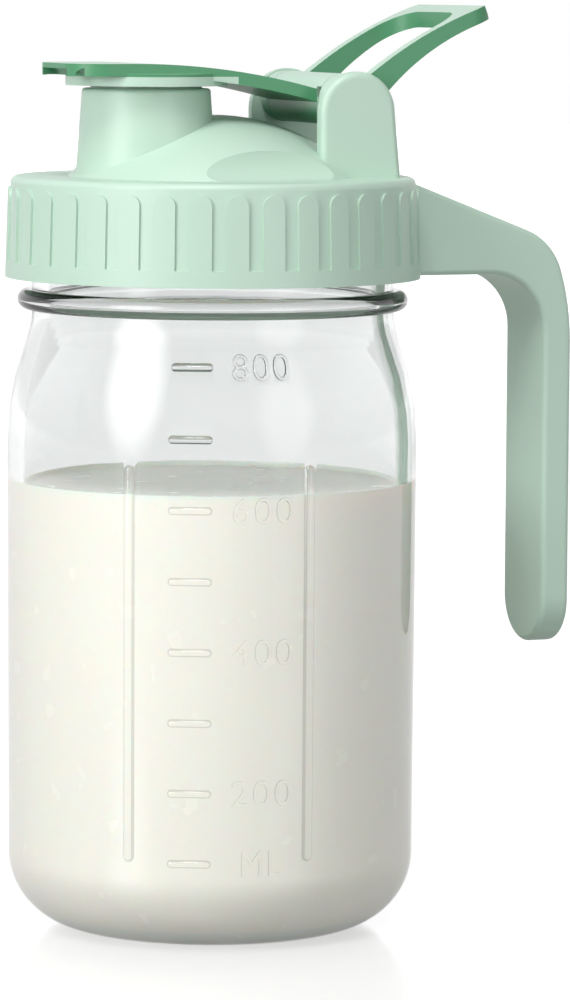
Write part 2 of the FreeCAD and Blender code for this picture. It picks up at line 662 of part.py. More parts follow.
def main():
    os.makedirs("parts", exist_ok=True)
    pieces = {
        "glass_jar": glass_jar,
        "milk": milk,
        "screw_lid": screw_lid,
        "flip_cap": flip_cap,
        "carry_loop": carry_loop,
    }
    for name, build in pieces.items():
        shape = build()
        assert shape.isValid(), name
        shape.exportStep(f"parts/{name}.step")
        print(name, len(shape.Faces), "faces", round(shape.Volume / 1000, 2), "cm3",
              [round(v, 2) for v in (shape.BoundBox.XMin, shape.BoundBox.XMax, shape.BoundBox.YMin,
                                     shape.BoundBox.YMax, shape.BoundBox.ZMin, shape.BoundBox.ZMax)])


main()
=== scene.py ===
"""Looks of the milk pitcher: clear pressed glass, milk and mint green plastic.

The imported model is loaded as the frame. The jar and its milk are rebuilt as
turned meshes with a raised scale; the lid, cap and loop keep their CAD meshes
and get a satin moulded plastic. Lengths in the classes are millimetres.
"""

import logging
import math
from dataclasses import dataclass, field, replace
from enum import Enum

import bmesh
import bpy
from mathutils import Matrix, Vector

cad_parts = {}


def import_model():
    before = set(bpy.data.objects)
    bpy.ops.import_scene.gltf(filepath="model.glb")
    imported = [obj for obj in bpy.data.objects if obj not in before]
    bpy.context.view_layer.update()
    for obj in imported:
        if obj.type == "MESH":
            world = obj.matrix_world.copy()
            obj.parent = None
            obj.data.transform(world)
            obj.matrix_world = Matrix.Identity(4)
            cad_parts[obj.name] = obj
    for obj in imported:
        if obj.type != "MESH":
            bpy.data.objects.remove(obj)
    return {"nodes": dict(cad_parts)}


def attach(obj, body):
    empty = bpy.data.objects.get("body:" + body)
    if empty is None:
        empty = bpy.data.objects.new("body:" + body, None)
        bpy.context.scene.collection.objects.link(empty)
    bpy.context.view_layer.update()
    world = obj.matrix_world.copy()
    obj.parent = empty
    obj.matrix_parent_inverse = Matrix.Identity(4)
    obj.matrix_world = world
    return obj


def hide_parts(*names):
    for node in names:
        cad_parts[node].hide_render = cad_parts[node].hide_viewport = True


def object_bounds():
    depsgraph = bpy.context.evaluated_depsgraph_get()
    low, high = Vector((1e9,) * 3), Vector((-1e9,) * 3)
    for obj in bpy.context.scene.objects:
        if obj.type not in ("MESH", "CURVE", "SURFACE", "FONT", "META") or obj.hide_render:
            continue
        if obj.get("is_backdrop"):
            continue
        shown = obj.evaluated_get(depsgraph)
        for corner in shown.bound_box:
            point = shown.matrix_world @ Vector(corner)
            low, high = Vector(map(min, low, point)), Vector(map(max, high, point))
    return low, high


LOG = logging.getLogger("pitcher")
MM = 0.001
TURNED_STEPS = 256
ARC_STEP_DEG = 6.0
FEWEST_ARC_STEPS = 3
WHITE = (1, 1, 1, 1)
# Points nearer than this are one: millimetres while turning, metres when placed.
WELD_TURNED = 1e-3
WELD_PLACED = 1e-7
# Ray depths are whole numbers, so this parts a first flight from the later ones.
FIRST_FLIGHT = 0.5
# A Mix node has sockets for every kind of data; these are its share and colours.
MIX_INPUTS = (0, 6, 7)
MIX_OUTPUT = 2


class Slot(Enum):
    """Material slots of the record that the drawn pieces wear."""

    GLASS = "clear_glass"
    MILK = "milk"


class Body(Enum):
    """Bodies of the record that the drawn pieces ride on."""

    PITCHER = "pitcher"


class Glass(Enum):
    """Glasses of the jar, by the place of their material slot."""

    WALL = 0
    # Dark glass of the marks' steep sides: painted shade for the dark outlines of raised
    # glass.
    STEEP_SHADE = 1
    # Blue-grey glass of the foot: painted shade under the milk's floor.
    FOOT_SHADE = 2


class Socket(Enum):
    """Kinds of socket that the shared effects take and give."""

    COLOUR = "NodeSocketColor"
    NUMBER = "NodeSocketFloat"
    VECTOR = "NodeSocketVector"


class Node(Enum):
    """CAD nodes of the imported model."""

    JAR = "glass_jar"
    MILK = "milk"
    LID = "screw_lid"
    CAP = "flip_cap"
    LOOP = "carry_loop"


# ---- small tools -------------------------------------------------------------


class Board:
    """A node tree with short calls for adding and joining nodes."""

    def __init__(self, tree: bpy.types.NodeTree) -> None:
        """Empties the tree.

        Args:
            tree: the tree of a material, world or group.
        """
        self.tree = tree
        tree.nodes.clear()

    def add(self, kind: str, **values: object) -> bpy.types.Node:
        """Adds a node.

        Args:
            kind: the node's type name.
            values: properties of the node, by name.

        Returns:
            The new node.
        """
        node = self.tree.nodes.new(kind)
        for name, value in values.items():
            setattr(node, name, value)
        return node

    def join(self, value: object, target: bpy.types.NodeSocket) -> None:
        """Joins an output socket to an input, or sets the input to a value.

        Args:
            value: the output socket or the value.
            target: the input socket.
        """
        if isinstance(value, bpy.types.NodeSocket):
            self.tree.links.new(value, target)
        else:
            target.default_value = value

    def feed(self, node: bpy.types.Node, **sockets: object) -> bpy.types.Node:
        """Sets or joins a node's inputs; an underscore stands for a space.

        Args:
            node: the node whose inputs are fed.
            sockets: a value, or an output socket to join.

        Returns:
            The same node.
        """
        for name, value in sockets.items():
            self.join(value, node.inputs[name.replace("_", " ")])
        return node

    def math(self, operation: str, *terms: object) -> bpy.types.NodeSocket:
        """Adds a Math node.

        Args:
            operation: the node's operation.
            terms: numbers or output sockets, in order.

        Returns:
            The result's socket.
        """
        node = self.add("ShaderNodeMath", operation=operation)
        for term, socket in zip(terms, node.inputs):
            self.join(term, socket)
        return node.outputs[0]

    def vector(self, operation: str, *terms: object) -> bpy.types.Node:
        """Adds a Vector Math node.

        Args:
            operation: the node's operation.
            terms: vectors or output sockets, in order.

        Returns:
            The node.
        """
        node = self.add("ShaderNodeVectorMath", operation=operation)
        for term, socket in zip(terms, node.inputs):
            self.join(term, socket)
        return node

    def split(self, vector: bpy.types.NodeSocket) -> bpy.types.bpy_prop_collection:
        """Returns a vector's X, Y and Z as sockets."""
        node = self.add("ShaderNodeSeparateXYZ")
        self.join(vector, node.inputs[0])
        return node.outputs

    def ramp(
        self,
        value: bpy.types.NodeSocket,
        span: tuple[float, float],
        ends: tuple[object, object],
        smooth: bool = True,
    ) -> bpy.types.NodeSocket:
        """Adds a Map Range node.

        Args:
            value: the socket it follows.
            span: the value's two limits.
            ends: what comes out at each limit, numbers or sockets.
            smooth: True eases in and out, and False runs straight.

        Returns:
            The result's socket.
        """
        kind = "SMOOTHSTEP" if smooth else "LINEAR"
        return self.feed(
            self.add("ShaderNodeMapRange", interpolation_type=kind),
            Value=value, From_Min=span[0], From_Max=span[1],
            To_Min=ends[0], To_Max=ends[1],
        ).outputs[0]

    def blend(self, *parts: object) -> bpy.types.NodeSocket:
        """Mixes two colours.

        Args:
            parts: the second colour's share, the first colour and the second.

        Returns:
            The mixed colour's socket.
        """
        node = self.add("ShaderNodeMix", data_type="RGBA")
        for part, place in zip(parts, MIX_INPUTS):
            self.join(part, node.inputs[place])
        return node.outputs[MIX_OUTPUT]

    def bump(self, height: bpy.types.NodeSocket, relief: float) -> bpy.types.NodeSocket:
        """Adds a Bump node at full strength.

        Args:
            height: the socket that gives the height.
            relief: the height of a full step in metres.

        Returns:
            The bent normal's socket.
        """
        return self.feed(
            self.add("ShaderNodeBump"), Height=height, Distance=relief, Strength=1.0
        ).outputs[0]


def new_material(name: str) -> tuple[bpy.types.Material, Board]:
    """Starts a node material.

    Args:
        name: the material's name.

    Returns:
        The material, and its empty tree.
    """
    made = bpy.data.materials.new(name)
    made.use_nodes = True
    return made, Board(made.node_tree)


class Turning:
    """A profile drawn in the XZ plane edge by edge, then spun about Z."""

    def __init__(self, radius: float, z: float) -> None:
        """Starts the profile at a point.

        Args:
            radius: distance from the axis.
            z: height.
        """
        self.mesh = bmesh.new()
        self.tip = bmesh.ops.create_vert(self.mesh, co=(radius, 0, z))["vert"][0]

    def line_to(self, radius: float, z: float) -> "Turning":
        """Draws a straight edge from the tip.

        Args:
            radius: the new tip's distance from the axis.
            z: the new tip's height.

        Returns:
            This profile.
        """
        made = bmesh.ops.extrude_vert_indiv(self.mesh, verts=[self.tip])
        start, self.tip = self.tip.co.copy(), made["verts"][0]
        bmesh.ops.translate(
            self.mesh, verts=[self.tip], vec=Vector((radius, 0, z)) - start
        )
        return self

    def arc(self, radius: float, z: float, degrees: float) -> "Turning":
        """Draws an arc from the tip about a centre.

        Args:
            radius: the centre's distance from the axis.
            z: the centre's height.
            degrees: turn, positive from +X towards +Z.

        Returns:
            This profile.
        """
        steps = max(FEWEST_ARC_STEPS, round(abs(degrees) / ARC_STEP_DEG))
        made = bmesh.ops.spin(
            self.mesh,
            geom=[self.tip],
            cent=(radius, 0, z),
            axis=(0, -1, 0),
            dvec=(0, 0, 0),
            angle=math.radians(degrees),
            steps=steps,
            use_duplicate=False,
        )
        self.tip = next(
            g for g in made["geom_last"] if isinstance(g, bmesh.types.BMVert)
        )
        return self

    def spun(self) -> bmesh.types.BMesh:
        """Spins the profile right round into a closed skin.

        Returns:
            The skin, with its normals outwards.
        """
        bmesh.ops.spin(
            self.mesh,
            geom=self.mesh.verts[:] + self.mesh.edges[:],
            cent=(0, 0, 0),
            axis=(0, 0, 1),
            dvec=(0, 0, 0),
            angle=math.tau,
            steps=TURNED_STEPS,
            use_merge=True,
            use_duplicate=False,
        )
        bmesh.ops.remove_doubles(
            self.mesh, verts=self.mesh.verts[:], dist=WELD_TURNED
        )
        bmesh.ops.recalc_face_normals(self.mesh, faces=self.mesh.faces[:])
        return self.mesh


def sharpen(mesh: bmesh.types.BMesh, degrees: float) -> None:
    """Shades a mesh smooth and keeps its corners.

    Args:
        mesh: the mesh to shade.
        degrees: edges that turn by more stay sharp.
    """
    limit = math.radians(degrees)
    for face in mesh.faces:
        face.smooth = True
    for edge in mesh.edges:
        edge.smooth = not edge.is_manifold or edge.calc_face_angle(0.0) < limit


def piece_from(
    name: str, mesh: bmesh.types.BMesh, sharp_deg: float
) -> bpy.types.Object:
    """Makes an object in metres from a mesh in millimetres.

    Args:
        name: the piece's name.
        mesh: the finished mesh, which is freed.
        sharp_deg: edges that turn by more stay sharp.

    Returns:
        The object, linked at the origin.
    """
    bmesh.ops.scale(mesh, vec=(MM, MM, MM), verts=mesh.verts[:])
    sharpen(mesh, sharp_deg)
    data = bpy.data.meshes.new(name)
    mesh.to_mesh(data)
    mesh.free()
    piece = bpy.data.objects.new(name, data)
    bpy.context.scene.collection.objects.link(piece)
    return piece


def settle(
    piece: bpy.types.Object,
    body: Body,
    materials: list[bpy.types.Material],
    replaced: Node,
) -> None:
    """Dresses a piece and hands it to the frame.

    Args:
        piece: the finished piece.
        body: the body it rides on.
        materials: its materials, in slot order.
        replaced: the CAD node it stands for.
    """
    for place, material in enumerate(materials):
        if place < len(piece.data.materials):
            piece.data.materials[place] = material
        else:
            piece.data.materials.append(material)
    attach(piece, body.value)
    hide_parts(replaced.value)
    LOG.info("%s: %d faces, on %s", piece.name, len(piece.data.polygons), body.value)


# ---- finishes ----------------------------------------------------------------


class SharedEffect:
    """A node group that more than one material places with its own values."""

    NAME = ""
    INPUTS: dict[str, Socket] = {}
    OUTPUTS: dict[str, Socket] = {}

    @classmethod
    def group(cls) -> bpy.types.NodeTree:
        """Builds the node group at its first use.

        Returns:
            The group.
        """
        found = bpy.data.node_groups.get(cls.NAME)
        if found:
            return found
        tree = bpy.data.node_groups.new(cls.NAME, "ShaderNodeTree")
        for side, sockets in (("INPUT", cls.INPUTS), ("OUTPUT", cls.OUTPUTS)):
            for name, kind in sockets.items():
                tree.interface.new_socket(
                    name=name, in_out=side, socket_type=kind.value
                )
        cls.wire(Board(tree))
        return tree

    @classmethod
    def wire(cls, board: Board) -> None:
        """Places and joins the group's nodes.

        Args:
            board: the group's empty tree.
        """
        raise NotImplementedError

    @classmethod
    def placed(cls, board: Board, **sockets: object) -> bpy.types.bpy_prop_collection:
        """Places the group in a material.

        Args:
            board: the material's tree.
            sockets: what feeds the group's inputs.

        Returns:
            The group's outputs.
        """
        node = board.add("ShaderNodeGroup", node_tree=cls.group())
        return board.feed(node, **sockets).outputs


class SoftVariation(SharedEffect):
    """Slow drift of colour and height with a fine grain on top.

    The colour follows the drift and the roughness follows the grain.
    """

    NAME = "soft_variation"
    INPUTS = {
        "Light": Socket.COLOUR,
        "Deep": Socket.COLOUR,
        "Drift Scale": Socket.NUMBER,
        "Grain Scale": Socket.NUMBER,
        "Grain Share": Socket.NUMBER,
        "Sheen Low": Socket.NUMBER,
        "Sheen High": Socket.NUMBER,
    }
    OUTPUTS = {
        "Colour": Socket.COLOUR,
        "Roughness": Socket.NUMBER,
        "Height": Socket.NUMBER,
    }
    DETAIL = {"Drift Scale": 3.0, "Grain Scale": 2.0}

    @classmethod
    def wire(cls, board: Board) -> None:
        """Places and joins the group's nodes.

        Args:
            board: the group's empty tree.
        """
        given = board.add("NodeGroupInput").outputs
        place = board.add("ShaderNodeTexCoord").outputs["Object"]
        drift, grain = (
            board.feed(
                board.add("ShaderNodeTexNoise"),
                Vector=place, Scale=given[scale], Detail=detail,
            ).outputs[0]
            for scale, detail in cls.DETAIL.items()
        )
        fine = board.math("MULTIPLY", grain, given["Grain Share"])
        sheens = (given["Sheen Low"], given["Sheen High"])
        board.feed(
            board.add("NodeGroupOutput"),
            Colour=board.blend(drift, given["Light"], given["Deep"]),
            Roughness=board.ramp(grain, (0.0, 1.0), sheens, smooth=False),
            Height=board.math("ADD", drift, fine),
        )


class PaintedShade(SharedEffect):
    """Painted shade: a deeper colour on the sides of thin mouldings and under the hinge
    barrel, where shade falls.

    A face counts as a side, or as an underside, by the height of its normal.
    """

    NAME = "painted_shade"
    INPUTS = {
        "Face": Socket.COLOUR,
        "Edge": Socket.COLOUR,
        "Axle": Socket.VECTOR,
        "Axle Radius": Socket.NUMBER,
        "Skirt": Socket.VECTOR,
    }
    OUTPUTS = {"Colour": Socket.COLOUR}
    SIDES = (0.15, 0.8)
    UNDERSIDES = (-0.7, 0.1)
    ACROSS_HINGE = (1, 0, 1)

    @classmethod
    def wire(cls, board: Board) -> None:
        """Places and joins the group's nodes.

        Args:
            board: the group's empty tree.
        """
        given = board.add("NodeGroupInput").outputs
        place = board.add("ShaderNodeTexCoord").outputs
        facing = board.split(place["Normal"])["Z"]
        side = board.ramp(facing, cls.SIDES, (1.0, 0.0))
        under = board.ramp(facing, cls.UNDERSIDES, (1.0, 0.0))
        away = board.vector("SUBTRACT", place["Object"], given["Axle"]).outputs[0]
        flat = board.vector("MULTIPLY", away, cls.ACROSS_HINGE).outputs[0]
        reach = board.vector("LENGTH", flat).outputs["Value"]
        thin = board.math("GREATER_THAN", reach, given["Axle Radius"])
        at, rim = board.split(place["Object"]), board.split(given["Skirt"])
        skirt = board.math(
            "MULTIPLY",
            board.math("LESS_THAN", at["X"], rim["X"]),
            board.math("LESS_THAN", at["Z"], rim["Z"]),
        )
        bare = board.math("SUBTRACT", 1.0, skirt)
        barrel = board.math("SUBTRACT", 1.0, thin)
        # Painted shade on the sides away from the barrel, except the skirt, and on the
        # barrel's underside.
        shaded_sides = board.math("MULTIPLY", board.math("MULTIPLY", side, thin), bare)
        shaded = board.math("MULTIPLY", under, barrel)
        # Where either mask holds, the colour turns to the painted shade.
        deep = board.math("MAXIMUM", shaded_sides, shaded)
        board.feed(
            board.add("NodeGroupOutput"),
            Colour=board.blend(deep, given["Face"], given["Edge"]),
        )


@dataclass(frozen=True)
class VariedFinish:
    """A solid finish with the shared variation, and painted shade on thin mouldings if it
    has an edge colour.

    Attributes:
        name: the material's name.
        light: colour where it drifts light, linear.
        deep: colour where it drifts deep, linear.
        drift_scale: drifts per metre.
        grain_scale: grains per metre.
        grain_share: the grain's height beside the drift's.
        sheen: lowest and highest roughness.
        relief: height of the bump in metres.
        under: how far light spreads under the surface in metres, 0 for none.
        under_share: the share of light that does.
        edge: colour of the painted shade on a thin moulding's sides and under
            its hinge barrel, linear, if it has them.
        axle: a point of the hinge line in metres, for a piece with painted shade.
        axle_r: radius round it inside which only undersides get the painted shade.
        skirt: x and z under which a skirt gets no painted shade.
    """

    name: str
    light: tuple[float, float, float]
    deep: tuple[float, float, float]
    drift_scale: float
    grain_scale: float
    grain_share: float
    sheen: tuple[float, float]
    relief: float
    under: float = 0.0
    under_share: float = 0.4
    edge: tuple[float, float, float] | None = None
    axle: tuple[float, float, float] = (0.0, 0.0, 0.0)
    axle_r: float = 0.0
    skirt: tuple[float, float, float] = (-1.0, 0.0, -1.0)

    def material(self) -> bpy.types.Material:
        """Builds the material.

        Returns:
            The new material.
        """
        made, board = new_material(self.name)
        effect = SoftVariation.placed(
            board,
            Light=(*self.light, 1), Deep=(*self.deep, 1),
            Drift_Scale=self.drift_scale, Grain_Scale=self.grain_scale,
            Grain_Share=self.grain_share,
            Sheen_Low=self.sheen[0], Sheen_High=self.sheen[1],
        )
        colour = effect["Colour"]
        # Painted shade on the sides of thin mouldings and under the hinge barrel.
        if self.edge:
            colour = PaintedShade.placed(
                board,
                Face=colour, Edge=(*self.edge, 1),
                Axle=self.axle, Axle_Radius=self.axle_r, Skirt=self.skirt,
            )["Colour"]
        shader = board.feed(
            board.add("ShaderNodeBsdfPrincipled"),
            Base_Color=colour,
            Roughness=effect["Roughness"],
            Normal=board.bump(effect["Height"], self.relief),
        )
        if self.under > 0:
            board.feed(
                shader,
                Subsurface_Weight=self.under_share, Subsurface_Scale=self.under,
            )
        board.feed(board.add("ShaderNodeOutputMaterial"), Surface=shader.outputs[0])
        return made


@dataclass(frozen=True)
class GlassFinish:
    """Clear pressed glass that passes lamps and scattered light straight on.

    Attributes:
        name: the material's name.
        tint: colour of the glass, linear.
        ripple_scale: ripples of the pressed wall per metre.
        ripple: height of the ripples in metres.
        finer: how many times finer the small ripples are.
        fine_share: the small ripples' height beside the others'.
        refraction: its index of refraction.
        shade: share of a lamp's light that it passes.
    """

    name: str = "clear_glass"
    tint: tuple[float, float, float] = (0.83, 0.843, 0.841)
    ripple_scale: float = 28.0
    ripple: float = 0.00012
    finer: float = 4.0
    fine_share: float = 0.05
    refraction: float = 1.5
    shade: float = 1.0

    def material(self) -> bpy.types.Material:
        """Builds the material.

        Returns:
            The new material.
        """
        made, board = new_material(self.name)
        effect = SoftVariation.placed(
            board,
            Drift_Scale=self.ripple_scale,
            Grain_Scale=self.ripple_scale * self.finer,
            Grain_Share=self.fine_share,
        )
        shader = board.feed(
            board.add("ShaderNodeBsdfPrincipled"),
            Base_Color=(*self.tint, 1), Roughness=0.0, IOR=self.refraction,
            Transmission_Weight=1.0,
            Normal=board.bump(effect["Height"], self.ripple),
        )
        clear = board.feed(
            board.add("ShaderNodeBsdfTransparent"), Color=(*[self.shade] * 3, 1)
        )
        path = board.add("ShaderNodeLightPath").outputs
        spread = board.math("GREATER_THAN", path["Diffuse Depth"], FIRST_FLIGHT)
        lamp = board.math("MAXIMUM", path["Is Shadow Ray"], spread)
        mix = board.add("ShaderNodeMixShader")
        for value, socket in zip((lamp, shader.outputs[0], clear.outputs[0]), mix.inputs):
            board.join(value, socket)
        board.feed(board.add("ShaderNodeOutputMaterial"), Surface=mix.outputs[0])
        return made


JAR_GLASSES = {
    Glass.WALL: GlassFinish(),
    # A dark tint that paints shade on the marks' steep sides.
    Glass.STEEP_SHADE: GlassFinish(name="steep_shade_glass", tint=(0.5, 0.51, 0.49)),
    # A blue-grey tint that paints the shade under the milk's floor.
    Glass.FOOT_SHADE: GlassFinish(name="foot_shade_glass", tint=(0.72, 0.82, 0.88)),
}
MILK_FINISH = VariedFinish(
    name="milk",
    light=(0.955, 0.94, 0.845), deep=(0.94, 0.92, 0.82),
    drift_scale=14.0, grain_scale=120.0, grain_share=0.1,
    sheen=(0.22, 0.3), relief=0.00002, under=0.003,
)
MINT_FINISH = VariedFinish(
    name="mint_plastic",
    light=(0.495, 0.66, 0.55), deep=(0.48, 0.645, 0.535),
    drift_scale=22.0, grain_scale=2600.0, grain_share=0.35,
    sheen=(0.34, 0.44), relief=0.00002,
)
# Mint plastic with painted shade on the cap's and loop's sides and under the hinge barrel.
MINT_SHADED_FINISH = replace(
    MINT_FINISH, name="mint_plastic_shaded",
    edge=(0.07, 0.27, 0.13), axle=(0.0262, 0.0, 0.196), axle_r=0.0064,
    skirt=(0.0, 0.0, 0.2013),
)


# ---- jar and milk ------------------------------------------------------------


@dataclass
class JarGlass:
    """The wide-mouth jar with its moulded scale.

    Attributes:
        body_r: outside radius at the shoulder.
        heel_draft: how much narrower the body is at the heel.
        heel_r: radius of the heel's curve.
        wall: thickness of the wall.
        base: thickness of the floor.
        push_up: radius and height of the hollow under the foot.
        shoulder_z: height at which the shoulder starts.
        shoulder_arc: radius of the shoulder's outward curve.
        neck_arc: radius of the inward curve above it.
        neck_r: outside radius of the neck.
        bead: the bead's outside radius, middle height and thickness.
        height: height of the jar.
        lip_r: radius of the mouth's rounded rim.
        scale_deg: direction that the scale faces, from +X.
        tick_z0: height of the lowest tick.
        tick_pitch: rise from one tick to the next.
        tick_count: ticks in the scale.
        tick_size: length and radius of a tick.
        tick_side: place of the ticks round the wall from the scale's middle.
        rib_deg: how far each upright rib stands from the scale's middle.
        rib_r: radius of a rib.
        rib_z: heights of a rib's ends.
        bar_grid: faces round a tick or rib, and rings along its round ends.
        raised: how far ticks and ribs stand out of the wall.
        numerals: the characters beside a tick, by the tick's place from below.
        numeral_h: height of the characters.
        numeral_w: width of numeral_span characters.
        numeral_span: characters that this width is for.
        numeral_side: place of the characters round the wall.
        numeral_gap: spacing of the characters, 1 for the typeface's own.
        numeral_thick: half their thickness, as a share of the type's size.
        numeral_grain: grain in which they are moulded, as such a share.
        numeral_soften: rounds of smoothing.
        numeral_deepen: stretch of their thickness.
        steep: a mark's face that looks outward less squarely is a steep side, which wears
            the dark glass of painted shade.
        foot_z: height up to which the foot's thick glass shows, tinted with painted shade.
        sharp_deg: edges that turn by more stay sharp.
    """

    body_r: float = 48.4
    heel_draft: float = 0.4
    heel_r: float = 17.6
    wall: float = 3.9
    base: float = 4.2
    push_up: tuple[float, float] = (21.0, 1.4)
    shoulder_z: float = 115.0
    shoulder_arc: float = 70.0
    neck_arc: float = 20.0
    neck_r: float = 42.7
    bead: tuple[float, float, float] = (46.1, 148.8, 4.7)
    height: float = 173.5
    lip_r: float = 1.4
    scale_deg: float = -109.4
    tick_z0: float = 21.7
    tick_pitch: float = 16.3
    tick_count: int = 8
    tick_size: tuple[float, float] = (10.3, 1.0)
    tick_side: float = -6.9
    rib_deg: float = 25.3
    rib_r: float = 1.5
    rib_z: tuple[float, float] = (23.0, 112.0)
    bar_grid: tuple[int, int] = (20, 13)
    raised: float = 0.95
    numerals: dict[int, str] = field(
        default_factory=lambda: {0: "ML", 1: "200", 3: "400", 5: "600", 7: "800"}
    )
    numeral_h: float = 6.0
    numeral_w: float = 14.2
    numeral_span: int = 3
    numeral_side: float = 10.0
    numeral_gap: float = 1.12
    numeral_thick: float = 0.075
    numeral_grain: float = 0.022
    numeral_soften: int = 3
    numeral_deepen: float = 8.0
    steep: float = 0.8
    foot_z: float = 4.5
    sharp_deg: float = 40.0

    def turn_deg(self) -> float:
        """Returns the angle of each of the shoulder's two arcs."""
        fall = self.body_r - self.neck_r
        return math.degrees(math.acos(1 - fall / (self.shoulder_arc + self.neck_arc)))

    def neck_z(self) -> float:
        """Returns the height at which the shoulder meets the neck."""
        reach = self.shoulder_arc + self.neck_arc
        return self.shoulder_z + reach * math.sin(math.radians(self.turn_deg()))

    def wall_radius(self, z: float) -> float:
        """Gives the outside radius.

        Args:
            z: height.

        Returns:
            The radius of the plain wall there.
        """
        low = self.body_r - self.heel_draft
        if z < self.heel_r:
            return low - self.heel_r + math.sqrt(self.heel_r**2 - (self.heel_r - z) ** 2)
        if z > self.shoulder_z:
            rise = z - self.shoulder_z
            bulge = math.sqrt(self.shoulder_arc**2 - rise**2)
            return self.body_r - self.shoulder_arc + bulge
        return low + self.heel_draft * (z - self.heel_r) / (self.shoulder_z - self.heel_r)

    def skin(self) -> bmesh.types.BMesh:
        """Turns the plain jar, outside and inside.

        Returns:
            Its closed skin.
        """
        heel_x = self.body_r - self.heel_draft - self.heel_r
        hollow_r, hollow_h = self.push_up
        bead_r, bead_z, bead_h = self.bead
        half, turn = bead_h / 2, self.turn_deg()
        neck = self.neck_r + self.neck_arc
        centre = self.body_r - self.shoulder_arc
        inner = self.neck_r - self.wall
        low_in = self.heel_r - self.base
        shape = Turning(0, hollow_h).line_to(hollow_r - hollow_h, hollow_h)
        shape.line_to(hollow_r, 0).line_to(heel_x, 0).arc(heel_x, self.heel_r, 90)
        shape.line_to(self.body_r, self.shoulder_z).arc(centre, self.shoulder_z, turn)
        shape.arc(neck, self.neck_z(), -turn).line_to(self.neck_r, bead_z - half)
        shape.line_to(bead_r - half, bead_z - half).arc(bead_r - half, bead_z, 180)
        shape.line_to(self.neck_r, bead_z + half)
        shape.line_to(self.neck_r, self.height - self.lip_r)
        shape.arc(self.neck_r - self.lip_r, self.height - self.lip_r, 90)
        shape.line_to(inner + self.lip_r, self.height)
        shape.arc(inner + self.lip_r, self.height - self.lip_r, 90)
        shape.line_to(inner, self.neck_z()).arc(neck, self.neck_z(), turn)
        shape.arc(centre, self.shoulder_z, -turn)
        shape.line_to(heel_x + low_in, self.heel_r).arc(heel_x, self.heel_r, -90)
        shape.line_to(0, self.base)
        return shape.spun()

    def bar(self, radius: float, length: float, axis: str) -> bmesh.types.BMesh:
        """Makes a bar with round ends.

        Args:
            radius: its radius.
            length: its length over the ends.
            axis: "Y" lies across the wall and "Z" stands up.

        Returns:
            The bar about the origin.
        """
        mesh = bmesh.new()
        around, along = self.bar_grid
        bmesh.ops.create_uvsphere(
            mesh, u_segments=around, v_segments=along, radius=radius
        )
        for side in (-1, 1):
            ends = [v for v in mesh.verts if v.co.z * side > 0]
            shift = side * (length / 2 - radius)
            bmesh.ops.translate(mesh, verts=ends, vec=(0, 0, shift))
        if axis == "Y":
            lying = Matrix.Rotation(math.pi / 2, 3, "X")
            bmesh.ops.rotate(mesh, verts=mesh.verts[:], matrix=lying)
        return mesh

    def lettering(self, text: str) -> bmesh.types.BMesh:
        """Makes raised characters with soft edges, upright in the YZ plane.

        Args:
            text: the characters.

        Returns:
            The characters about the origin, facing +X.
        """
        curve = bpy.data.curves.new("numeral", "FONT")
        curve.body, curve.align_x, curve.align_y = text, "CENTER", "CENTER"
        curve.size, curve.space_character = 1.0, self.numeral_gap
        curve.extrude = self.numeral_thick
        holder = bpy.data.objects.new("numeral", curve)
        bpy.context.scene.collection.objects.link(holder)
        skin = holder.modifiers.new("skin", "REMESH")
        skin.mode, skin.voxel_size = "VOXEL", self.numeral_grain
        data = bpy.data.meshes.new_from_object(
            holder.evaluated_get(bpy.context.evaluated_depsgraph_get())
        )
        mesh = bmesh.new()
        mesh.from_mesh(data)
        bpy.data.objects.remove(holder)
        bpy.data.curves.remove(curve)
        bpy.data.meshes.remove(data)
        for _ in range(self.numeral_soften):
            bmesh.ops.smooth_vert(
                mesh, verts=mesh.verts[:], factor=0.5,
                use_axis_x=True, use_axis_y=True, use_axis_z=True,
            )
        xs = [v.co.x for v in mesh.verts]
        ys = [v.co.y for v in mesh.verts]
        width, height = max(xs) - min(xs), max(ys) - min(ys)
        wide = self.numeral_w * len(text) / self.numeral_span
        middle = Vector(((max(xs) + min(xs)) / 2, (max(ys) + min(ys)) / 2, 0))
        bmesh.ops.translate(mesh, verts=mesh.verts[:], vec=-middle)
        bmesh.ops.scale(
            mesh, verts=mesh.verts[:],
            vec=(wide / width, self.numeral_h / height, self.numeral_deepen),
        )
        upright = Matrix(((0, 0, 1), (1, 0, 0), (0, 1, 0)))
        bmesh.ops.transform(mesh, verts=mesh.verts[:], matrix=upright.to_4x4())
        return mesh

    def lay(self, mesh: bmesh.types.BMesh, side: float, z: float, out: float) -> None:
        """Wraps a mark round the wall at its place.

        Args:
            mesh: the mark about the origin, facing +X.
            side: distance round the wall from the scale's middle.
            z: height of its middle.
            out: how far its middle lies outside the wall.
        """
        for vert in mesh.verts:
            height = z + vert.co.z
            radius = self.wall_radius(height) + out + vert.co.x
            angle = math.radians(self.scale_deg) + (side + vert.co.y) / self.body_r
            vert.co = (radius * math.cos(angle), radius * math.sin(angle), height)

    def glass(self, face: bmesh.types.BMFace) -> int:
        """Tells which glass a mark's face wears; a steep side wears the dark glass of
        painted shade.

        Args:
            face: a laid face whose normal is up to date.

        Returns:
            The place of the glass among the material slots.
        """
        spot = face.calc_center_median()
        outward = Vector((spot.x, spot.y, 0)).normalized()
        steep = abs(face.normal.dot(outward)) < self.steep
        return (Glass.STEEP_SHADE if steep else Glass.WALL).value

